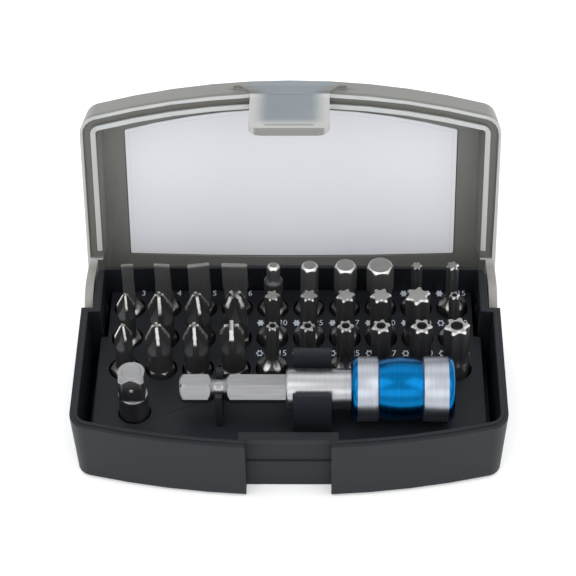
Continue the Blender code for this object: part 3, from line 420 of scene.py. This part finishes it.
CASE_PLASTIC = satin_plastic("case_plastic", linear(21, 25, 30), linear(26, 30, 35), 0.42)
TRAY_PLASTIC = satin_plastic("tray_plastic", linear(25, 28, 34), linear(31, 34, 40), 0.48)
SMOKY = smoky_plastic()
LABEL = label_foil()
BIT_STEEL = bit_steel()
HOLDER_STEEL = turned_steel("holder_steel", "X", DRAWN_END_X)
ADAPTER_STEEL = turned_steel("adapter_steel", "Z")
SLEEVE = sleeve_aluminium()
NICKEL = plain_metal("magnet_nickel", linear(200, 196, 190), 0.22)
SPRING_STEEL = plain_metal("spring_steel", linear(186, 186, 190), 0.25)
BALL_STEEL = plain_metal("ball_steel", linear(150, 150, 152), 0.30)
INK = mark_ink()


# --- meshes -------------------------------------------------------------------------
def new_piece(name, mesh, material, body, slot, *nodes):
    """A finished mesh at the origin, riding on its body and standing for CAD nodes."""
    piece = bpy.data.objects.new(name, mesh)
    bpy.context.scene.collection.objects.link(piece)
    if material is not None:
        mesh.materials.clear()
        mesh.materials.append(material)
    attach(piece, body)
    if nodes:
        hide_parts(*nodes)
    return piece


def smooth(mesh, degrees=SMOOTH_ANGLE):
    mesh.shade_smooth()
    mesh.set_sharp_from_angle(angle=math.radians(degrees))


def evaluated_mesh(thing):
    """The modified shape as a plain mesh; the helper object goes."""
    bpy.context.view_layer.update()
    mesh = bpy.data.meshes.new_from_object(
        thing.evaluated_get(bpy.context.evaluated_depsgraph_get()))
    bpy.data.objects.remove(thing)
    return mesh


def softened(node, width):
    """A copy of a CAD node, merged into clean faces, with small rounds on its edges. An
    edge that ends at a sliver of the surface stays sharp."""
    mesh = NODES[node].data.copy()
    bm = bmesh.new()
    bm.from_mesh(mesh)
    bmesh.ops.remove_doubles(bm, verts=bm.verts, dist=0.000005)
    bmesh.ops.dissolve_limit(bm, angle_limit=math.radians(0.6), verts=bm.verts,
                             edges=bm.edges)
    crowded = {vert for edge in bm.edges if edge.calc_length() < 2.6 * width * MM
               for vert in edge.verts}
    bmesh.ops.triangulate(bm, faces=[face for face in bm.faces if len(face.verts) > 60])
    chosen = [edge for edge in bm.edges
              if edge.is_manifold and edge.calc_face_angle() > math.radians(ROUNDED_ANGLE)
              and not crowded.intersection(edge.verts)]
    bmesh.ops.bevel(bm, geom=chosen, offset=width * MM, offset_type="OFFSET", segments=2,
                    profile=0.5, affect="EDGES", clamp_overlap=False)
    bm.to_mesh(mesh)
    bm.free()
    smooth(mesh, 32.0)
    helper = bpy.data.objects.new("helper", mesh)
    bpy.context.scene.collection.objects.link(helper)
    flat = helper.modifiers.new("flat", "WEIGHTED_NORMAL")
    flat.keep_sharp = True
    flat.weight = 90
    return evaluated_mesh(helper)


def lathe_mesh(name, stations, sides, matrix, sharp=SMOOTH_ANGLE):
    """A closed solid through rings about an axis. A station is (z, radius, ground): the
    radius and the ground share are numbers or arrays over the sides, in millimetres."""
    angles = np.arange(sides) * 2 * math.pi / sides
    points, ground = [], []
    for z, radius, bright in stations:
        radius = np.broadcast_to(radius, sides)
        ring = np.stack([radius * np.cos(angles), radius * np.sin(angles),
                         np.full(sides, z)], axis=1)
        points.append(ring * MM)
        ground.append(np.broadcast_to(bright, sides))
    faces = []
    for low in range(0, (len(stations) - 1) * sides, sides):
        for i in range(sides):
            j = (i + 1) % sides
            faces.append((low + i, low + j, low + sides + j, low + sides + i))
    faces.append(tuple(reversed(range(sides))))
    last = (len(stations) - 1) * sides
    faces.append(tuple(range(last, last + sides)))
    mesh = bpy.data.meshes.new(name)
    mesh.from_pydata([tuple(p) for p in np.concatenate(points)], [], faces)
    shares = mesh.attributes.new("ground", "FLOAT", "POINT")
    shares.data.foreach_set("value", np.concatenate(ground).astype(np.float32))
    mesh.transform(matrix)
    smooth(mesh, sharp)
    return mesh


# --- sections over the angle -------------------------------------------------------------
def angles_of(sides):
    return np.arange(sides) * 360.0 / sides


def hexagon(degrees, flats):
    off_flat = np.radians(degrees % 60.0 - 30.0)
    return flats / 2 / np.cos(off_flat)


def square(degrees, side, corner_radius):
    off_flat = np.radians((degrees + 45.0) % 90.0 - 45.0)
    return np.minimum(side / 2 / np.cos(off_flat), corner_radius)


def star(degrees, across):
    """Six narrow lobes with wider valleys."""
    wave = 0.5 + 0.5 * np.cos(np.radians(6 * degrees))
    return across / 2 * (0.69 + 0.31 * wave ** 1.5)


def blade(degrees, width, thickness):
    turn = np.radians(degrees)
    across = np.maximum(np.abs(np.cos(turn)), 1e-6)
    through = np.maximum(np.abs(np.sin(turn)), 1e-6)
    return np.minimum(width / 2 / across, thickness / 2 / through)


def flutes(degrees, bottom, web):
    """Four flutes between four wings of thickness web; bottom is their depth's radius."""
    off_wing = np.abs((degrees - 15.0 + 45.0) % 90.0 - 45.0)
    wall = web / 2 / np.maximum(np.sin(np.radians(off_wing)), 1e-6)
    return np.maximum(bottom / np.cos(np.radians(45.0 - off_wing)), wall)


# --- bits ----------------------------------------------------------------------------------
def place_of(kind, size_name, turn):
    """A bit's own axes: its foot at the origin, its axis along Z."""
    axis = np.array(JOINTS[f"{kind}_{size_name}_lift"]["axis"])
    mesh = NODES[f"{kind}_{size_name}"].data
    points = np.unique(np.round([v.co for v in mesh.vertices], 6), axis=0)
    heights = points @ axis
    foot = points[heights < heights.min() + 0.00001].mean(axis=0)
    lean = math.atan2(axis[0], axis[2])
    return (Matrix.Translation(foot) @ Matrix.Rotation(lean, 4, "Y")
            @ Matrix.Rotation(math.radians(turn), 4, "Z"))


def bit_station(kind, size, z, degrees):
    """Neck radius, radius and ground share at a height: the tip's form within a turned
    envelope."""
    back = BIT_LENGTH - z                     # distance from the tip
    if kind == "cross_bit":
        flat, neck, web, depth = CROSS_TIPS[size]
        cone = min(neck, flat + 0.5 * back)
        bottom = depth + 0.13 * back + 0.045 * max(0.0, back - 2.6) ** 2
        cut = flutes(degrees, bottom, web * (0.85 + 0.06 * back))
        radius = np.minimum(cone, cut)
        wing = (cut >= cone * 0.995) & (back * 0.5 + flat < neck + 0.05)
        return neck, radius, np.where(wing, 1.0, 0.0)
    if kind == "slot_bit":
        neck = min(size * 0.5 + 0.9, 2.95)
        thickness = 0.35 + 0.13 * size + 0.10 * back + 0.028 * max(0.0, back - 5.0) ** 2
        spread = max(size / 2, neck) if back < 9.0 else neck
        envelope = min(spread, size / 2 + max(0.0, back - 6.0) * 0.5) if size / 2 < neck \
            else max(neck, size / 2 - max(0.0, back - 7.5) * 0.5)
        radius = np.minimum(envelope, blade(degrees, size, thickness)) if thickness < \
            2 * envelope else np.full_like(degrees, envelope)
        return neck, radius, 0.85 if back < 0.5 else 0.12
    if kind == "hex_bit":
        collar = 8.4 if size > 3.5 else 4.6   # the hexagon's length
        neck = min(max(size / 2 * 1.06, 2.45), 2.95)
        chamfer = size / math.sqrt(3) - 0.72 + back * 0.9
        if back < collar:
            radius = np.minimum(hexagon(degrees, size), chamfer)
            return neck, radius, np.where(hexagon(degrees, size) > chamfer, 1.0, 0.15)
        radius = np.full_like(degrees, min(neck, size / 2 + (back - collar) * 1.4))
        return neck, radius, 0.0
    envelope = size / 2 + max(0.0, back - 10.6) ** 2 * 0.32     # both star kinds
    runout = max(0.0, back - 9.4) ** 2 * 0.16
    chamfer = 1.0 - 0.3 * max(0.0, 0.5 - back)
    lobes = star(degrees, size) * chamfer + runout
    radius = np.minimum(envelope, lobes)
    petal = (back > 11.0) & (lobes >= envelope)
    bright = np.where(petal, 0.75, 0.0) + (1.0 if back < 0.52 else 0.0)
    return NO_SHOULDER, radius, bright


def bit_mesh(kind, size_name, size, turn):
    sides = 96 if kind != "hex_bit" else 72
    degrees = angles_of(sides)
    shank = hexagon(degrees, HEX_FLATS)
    stations = [(0.0, np.minimum(shank, HEX_CORNER - 0.5), 0.0), (0.5, shank, 0.0),
                (HEX_END - 0.4, shank, 0.0)]
    heights = np.concatenate([np.arange(HEX_END, 16.0, 0.2), np.arange(16.0, 24.4, 0.35),
                              np.linspace(24.45, BIT_LENGTH, 6)])
    for z in heights:
        neck, radius, bright = bit_station(kind, size, z, degrees)
        shoulder = neck + max(0.0, HEX_END + SHOULDER_LENGTH - z) * 1.25
        if z < HEX_END + SHOULDER_LENGTH and neck < NO_SHOULDER:
            radius = np.minimum(np.maximum(radius, shoulder), shank)
            bright = np.where(shank > shoulder, 0.55, 0.0)
        else:
            radius = np.minimum(radius, shank)
        stations.append((z, radius, bright))
    if kind != "cross_bit":                   # the end face is duller than its ground edge
        stations.append((BIT_LENGTH, radius * 0.94, 0.45))
    if kind == "pin_star_bit":
        hole = 0.235 * size
        stations += [(BIT_LENGTH, hole, 0.45), (BIT_LENGTH - 0.25, hole * 0.94, 0.0),
                     (BIT_LENGTH - 1.8, hole * 0.94, 0.0)]
    return lathe_mesh(kind, stations, sides, place_of(kind, size_name, turn))


def make_bits():
    for row in (FRONT_ROW, MIDDLE_ROW, BACK_ROW):
        for kind, size_name, size, turn in row:
            node = f"{kind}_{size_name}"
            new_piece(node + "_ground", bit_mesh(kind, size_name, size, turn), BIT_STEEL,
                      node, "bit_steel", node)


# --- adapter, holder and sleeve -----------------------------------------------------------
HOLDER_PLACE = (Matrix.Translation((HOLDER_X * MM, HOLDER_Y * MM, HOLDER_Z * MM))
                @ Matrix.Rotation(math.radians(90), 4, "Y"))


def make_adapter():
    degrees = angles_of(96)
    length, square_length, collar = 24.0, 7.4, 3.71
    shoulder = length - square_length
    shank = hexagon(degrees, HEX_FLATS)
    body = square(degrees, HEX_FLATS, 4.05)
    stations = [(0.0, np.minimum(shank, HEX_CORNER - 0.5), 0.0), (0.5, shank, 0.0),
                (7.6, shank, 0.0), (7.8, collar, 0.0), (shoulder - 0.35, collar, 0.0),
                (shoulder - 0.1, collar - 0.12, 0.0), (shoulder, collar - 0.3, 0.0),
                (shoulder + 0.02, np.minimum(body, collar - 0.3), 0.0),
                (shoulder + 0.5, body, 0.0)]
    for drop in (1.15, 0.9, 0.6, 0.3, 0.08, 0.0):
        cone = 3.22 + drop * 0.7
        stations.append((length - drop, np.minimum(body, cone), 0.0))
    stations += [(length, 2.45, 0.0), (length - 0.08, 2.38, 0.0), (length - 0.08, 2.28, 0.0),
                 (length, 2.21, 0.0)]
    place = Matrix.Translation((ADAPTER_X * MM, HOLDER_Y * MM, BIT_FOOT_Z * MM))
    new_piece("adapter_ground", lathe_mesh("adapter", stations, 96, place, 25.0),
              ADAPTER_STEEL, "adapter", "bare_steel", "square_drive_adapter")


def make_holder():
    degrees = angles_of(96)
    hexagonal = hexagon(degrees + 30.0, HEX_FLATS)
    stations = []
    for x in np.concatenate([[-25.9, -25.55, -25.2], np.arange(-24.9, -19.4, 1.0),
                             np.arange(-19.3, -13.3, 0.15), np.arange(-13.0, -0.5, 1.0),
                             [-0.12]]):
        start = HEX_CORNER - 0.75 + (x + 25.9) * 0.9
        off = abs(x + 16.35)
        groove = 2.35 + 0.35 * max(0.0, off - 0.5) ** 2 if off < 1.5 else \
            2.70 + (off - 1.5) * 0.85
        stations.append((x, np.minimum(np.minimum(hexagonal, start), groove), 0.0))
    stations += [(-0.1, 4.55, 0.0), (0.0, 4.72, 0.0), (0.3, 4.92, 0.0), (0.55, 5.0, 0.0),
                 (14.2, 5.0, 0.0), (14.25, 4.93, 0.0), (14.55, 4.93, 0.0), (14.6, 5.0, 0.0),
                 (19.0, 5.0, 0.0), (19.0, 4.6, 0.0), (37.8, 4.6, 0.0), (37.8, 4.05, 0.0),
                 (39.2, 4.05, 0.0), (39.2, 4.6, 0.0), (39.5, 4.6, 0.0), (39.8, 4.5, 0.0),
                 (39.9, 4.3, 0.0), (39.9, hexagon(degrees, 6.9), 0.0),
                 (39.5, hexagon(degrees, 6.5), 0.0), (26.0, hexagon(degrees, 6.5), 0.0),
                 (26.0, 2.6, 0.0), (23.6, 2.6, 0.0)]
    new_piece("holder_turned", lathe_mesh("holder", stations, 96, HOLDER_PLACE, 30.0),
              HOLDER_STEEL, "holder", "bare_steel", "holder_body")


def make_sleeve():
    """A turned ring: the outside from its inner end to its mouth, then the bore back."""
    radius, waist, start, end, rounding = 7.9, 7.2, 15.65, 40.7, 1.6
    profile = [(start + rounding * (1 - math.cos(math.radians(a))),
                radius - rounding * (1 - math.sin(math.radians(a))))
               for a in range(0, 91, 10)]
    profile += [(21.9, radius), (22.15, radius - 0.12), (22.5, waist)]
    for step in range(1, 16):
        share = step / 8 - 1
        profile.append((27.7 + share * 5.2, waist + 0.7 * (1 - share * share)))
    profile += [(32.9, waist), (33.25, radius - 0.12), (33.5, radius)]
    profile += [(end - rounding * (1 - math.cos(math.radians(a))),
                 radius - rounding * (1 - math.sin(math.radians(a))))
                for a in range(90, -1, -10)]
    profile += [(end - 0.15, 5.9), (37.8, 5.9), (37.8, 4.9), (29.0, 4.9), (29.0, 5.7),
                (18.0, 5.7), (18.0, 5.3), (start + 0.15, 5.3)]
    profile.append(profile[0])
    mesh = lathe_mesh("sleeve", [(x, r, 0.0) for x, r in profile], 128,
                      HOLDER_PLACE, 30.0)
    bm = bmesh.new()
    bm.from_mesh(mesh)
    ends = [face for face in bm.faces if len(face.verts) > 4]
    bmesh.ops.delete(bm, geom=ends, context="FACES_ONLY")
    bmesh.ops.remove_doubles(bm, verts=bm.verts, dist=0.000001)
    bm.to_mesh(mesh)
    bm.free()
    new_piece("sleeve_turned", mesh, SLEEVE, "sleeve", "blue_anodised", "release_sleeve")


# --- case, tray and lid --------------------------------------------------------------------
def make_plastics():
    new_piece("case_shell", softened("base_tub", 0.18), CASE_PLASTIC, "case",
              "case_plastic", "base_tub")
    new_piece("tray_insert", softened("bit_tray", 0.14), TRAY_PLASTIC, "case",
              "tray_plastic", "bit_tray")
    new_piece("lid_moulding", softened("lid_shell", 0.2), SMOKY, "lid", "smoky_plastic",
              "lid_shell")
    new_piece("lid_panel", softened("lid_label", 0.05), LABEL, "lid", "label_foil",
              "lid_label")


# --- size marks ------------------------------------------------------------------------------
def glyph_mesh(kind):
    """A flat pictogram of the tip, lying in X and Y, about 1.7 mm across."""
    degrees = angles_of(60)
    outline = [star(degrees, 1.9)]
    if kind == "pin_star_bit":
        outline.append(star(degrees, 1.3) * 0.9)
    turn = np.radians(degrees)
    rings = [[(r * math.cos(a) * MM, 1.3 * r * math.sin(a) * MM, 0.0)
              for r, a in zip(ring, turn)] for ring in outline]
    points = sum(rings, [])
    if len(rings) == 2:
        faces = [(i, (i + 1) % 60, 60 + (i + 1) % 60, 60 + i) for i in range(60)]
    else:
        faces = [tuple(range(60))]
    mesh = bpy.data.meshes.new("glyph_" + kind)
    mesh.from_pydata(points, [], faces)
    return mesh


def marks_tree(glyph):
    """Puts one printed glyph on every point of the mesh it is given."""
    tree = bpy.data.node_groups.new("marks_on_deck", "GeometryNodeTree")
    tree.interface.new_socket("Points", in_out="INPUT", socket_type="NodeSocketGeometry")
    ink = tree.interface.new_socket("Ink", in_out="INPUT", socket_type="NodeSocketMaterial")
    tree.interface.new_socket("Marks", in_out="OUTPUT", socket_type="NodeSocketGeometry")
    entry = tree.nodes.new("NodeGroupInput")
    exit_node = tree.nodes.new("NodeGroupOutput")
    source = tree.nodes.new("GeometryNodeObjectInfo")
    source.inputs["Object"].default_value = glyph
    spread = tree.nodes.new("GeometryNodeInstanceOnPoints")
    print_it = tree.nodes.new("GeometryNodeSetMaterial")
    real = tree.nodes.new("GeometryNodeRealizeInstances")
    links = tree.links
    links.new(entry.outputs["Points"], spread.inputs["Points"])
    links.new(source.outputs["Geometry"], spread.inputs["Instance"])
    links.new(spread.outputs["Instances"], real.inputs["Geometry"])
    links.new(real.outputs["Geometry"], print_it.inputs["Geometry"])
    links.new(entry.outputs["Ink"], print_it.inputs["Material"])
    links.new(print_it.outputs["Geometry"], exit_node.inputs["Marks"])
    return tree, ink.identifier


def make_marks():
    """A pictogram left of each star bit's hole, behind it, and the size on the right."""
    lift = DECK_Z + MARK_LIFT
    spots, numbers = {}, []
    for row, bits in enumerate((FRONT_ROW, MIDDLE_ROW, BACK_ROW)):
        y = FRONT_ROW_Y + row * ROW_PITCH + MARK_OFFSET_Y
        for index, (kind, size_name, _, _) in enumerate(bits):
            x = (index - 4.5) * COLUMN_PITCH
            if kind in ("star_bit", "pin_star_bit"):
                spots.setdefault(kind, []).append(
                    ((x + GLYPH_OFFSET_X) * MM, y * MM, lift * MM))
            if kind not in ("cross_bit", "hex_bit"):
                numbers.append((size_name, x + NUMBER_END_X, y))
    for kind, points in spots.items():
        glyph = bpy.data.objects.new("glyph", glyph_mesh(kind))
        bpy.context.scene.collection.objects.link(glyph)
        mesh = bpy.data.meshes.new("spots")
        mesh.from_pydata(points, [], [])
        holder = bpy.data.objects.new("spots", mesh)
        bpy.context.scene.collection.objects.link(holder)
        tree, ink_id = marks_tree(glyph)
        pattern = holder.modifiers.new("marks", "NODES")
        pattern.node_group = tree
        pattern[ink_id] = INK
        marks = evaluated_mesh(holder)
        bpy.data.objects.remove(glyph)
        new_piece(f"marks_{kind}", marks, None, "case", "label_foil")
    for index, (text, x, y) in enumerate(numbers):
        curve = bpy.data.curves.new("number", "FONT")
        curve.body = text
        curve.size = NUMBER_SIZE * MM
        curve.align_x = "RIGHT"
        curve.align_y = "CENTER"
        curve.resolution_u = 3
        helper = bpy.data.objects.new("number", curve)
        bpy.context.scene.collection.objects.link(helper)
        mesh = evaluated_mesh(helper)
        mesh.transform(Matrix.Translation((x * MM, y * MM, lift * MM))
                       @ Matrix.Diagonal((1.0, 1.2, 1.0, 1.0)))
        new_piece(f"number_{index:02d}", mesh, INK, "case", "label_foil")


# --- small CAD pieces that keep their shape -------------------------------------------------
def finish_small_pieces():
    finishes = {"adapter_ball": BALL_STEEL, "lock_ball": BALL_STEEL, "holder_magnet": NICKEL,
                "retaining_ring": SPRING_STEEL, "sleeve_spring": SPRING_STEEL}
    for node, material in finishes.items():
        mesh = NODES[node].data
        mesh.materials.clear()
        mesh.materials.append(material)


# --- camera, floor and light --------------------------------------------------------------------
CAMERA_PLACE = (9.02, -379.63, 407.44)
CAMERA_DOWN, CAMERA_YAW, CAMERA_ROLL = 44.0, -1.38, -0.94
CAMERA_LENS = 137.26


def make_camera():
    down, yaw, roll = (math.radians(a) for a in (CAMERA_DOWN, CAMERA_YAW, CAMERA_ROLL))
    ahead = Vector((math.sin(yaw) * math.cos(down), math.cos(yaw) * math.cos(down),
                    -math.sin(down)))
    right = Vector((math.cos(yaw), -math.sin(yaw), 0.0))
    upward = right.cross(ahead)
    across = math.cos(roll) * right + math.sin(roll) * upward
    above = math.cos(roll) * upward - math.sin(roll) * right
    data = bpy.data.cameras.new("camera")
    data.lens = CAMERA_LENS
    data.sensor_width = 36.0
    data.clip_start = 0.01
    camera = bpy.data.objects.new("camera", data)
    bpy.context.scene.collection.objects.link(camera)
    turn = Matrix((across, above, -ahead)).transposed().to_4x4()
    camera.matrix_world = Matrix.Translation(Vector(CAMERA_PLACE) * MM) @ turn
    bpy.context.scene.camera = camera


def add_light(name, place, target, size, power, height=None):
    data = bpy.data.lights.new(name, "AREA")
    data.energy = power
    data.shape = "RECTANGLE"
    data.size = size
    data.size_y = height or size
    light = bpy.data.objects.new(name, data)
    bpy.context.scene.collection.objects.link(light)
    light.location = place
    light.rotation_euler = (Vector(target) - Vector(place)).to_track_quat("-Z", "Y").to_euler()


def make_studio():
    bpy.context.scene.view_settings.view_transform = "Standard"
    world = bpy.data.worlds.new("studio")
    bpy.context.scene.world = world
    world.use_nodes = True
    back = world.node_tree.nodes["Background"]
    back.inputs["Color"].default_value = (0.98, 0.99, 1.0, 1.0)
    back.inputs["Strength"].default_value = 0.95
    floor_mesh = bpy.data.meshes.new("floor")
    floor_mesh.from_pydata([(-3, -3, 0), (3, -3, 0), (3, 3, 0), (-3, 3, 0)], [],
                           [(0, 1, 2, 3)])
    floor = bpy.data.objects.new("floor", floor_mesh)
    floor.location.z = CAD_BOX[0].z - 0.0001
    bpy.context.scene.collection.objects.link(floor)
    paper = Finish("floor_paper", {"Roughness": 0.9, "Emission Color": (1.0, 1.0, 1.0, 1.0),
                                   "Emission Strength": 0.25})
    fibres = paper.noise(paper.place(), scale=40.0)
    paper.paint(base_color=paper.mix(fibres, (0.90, 0.90, 0.90, 1.0), (0.93, 0.93, 0.93, 1.0)))
    floor_mesh.materials.append(paper.material)
    centre = (0.0, 0.0, 0.02)
    for side in (-1, 1):
        add_light("softbox", (0.42 * side, -0.30, 0.72), centre, 0.42, 1.1, 0.6)
    add_light("overhead", (0.0, 0.45, 0.85), centre, 0.9, 0.6, 0.4)
    add_light("front", (0.0, -1.0, 0.62), centre, 1.3, 2.2, 0.5)


make_plastics()
make_bits()
make_adapter()
make_holder()
make_sleeve()
make_marks()
finish_small_pieces()
make_camera()
make_studio()
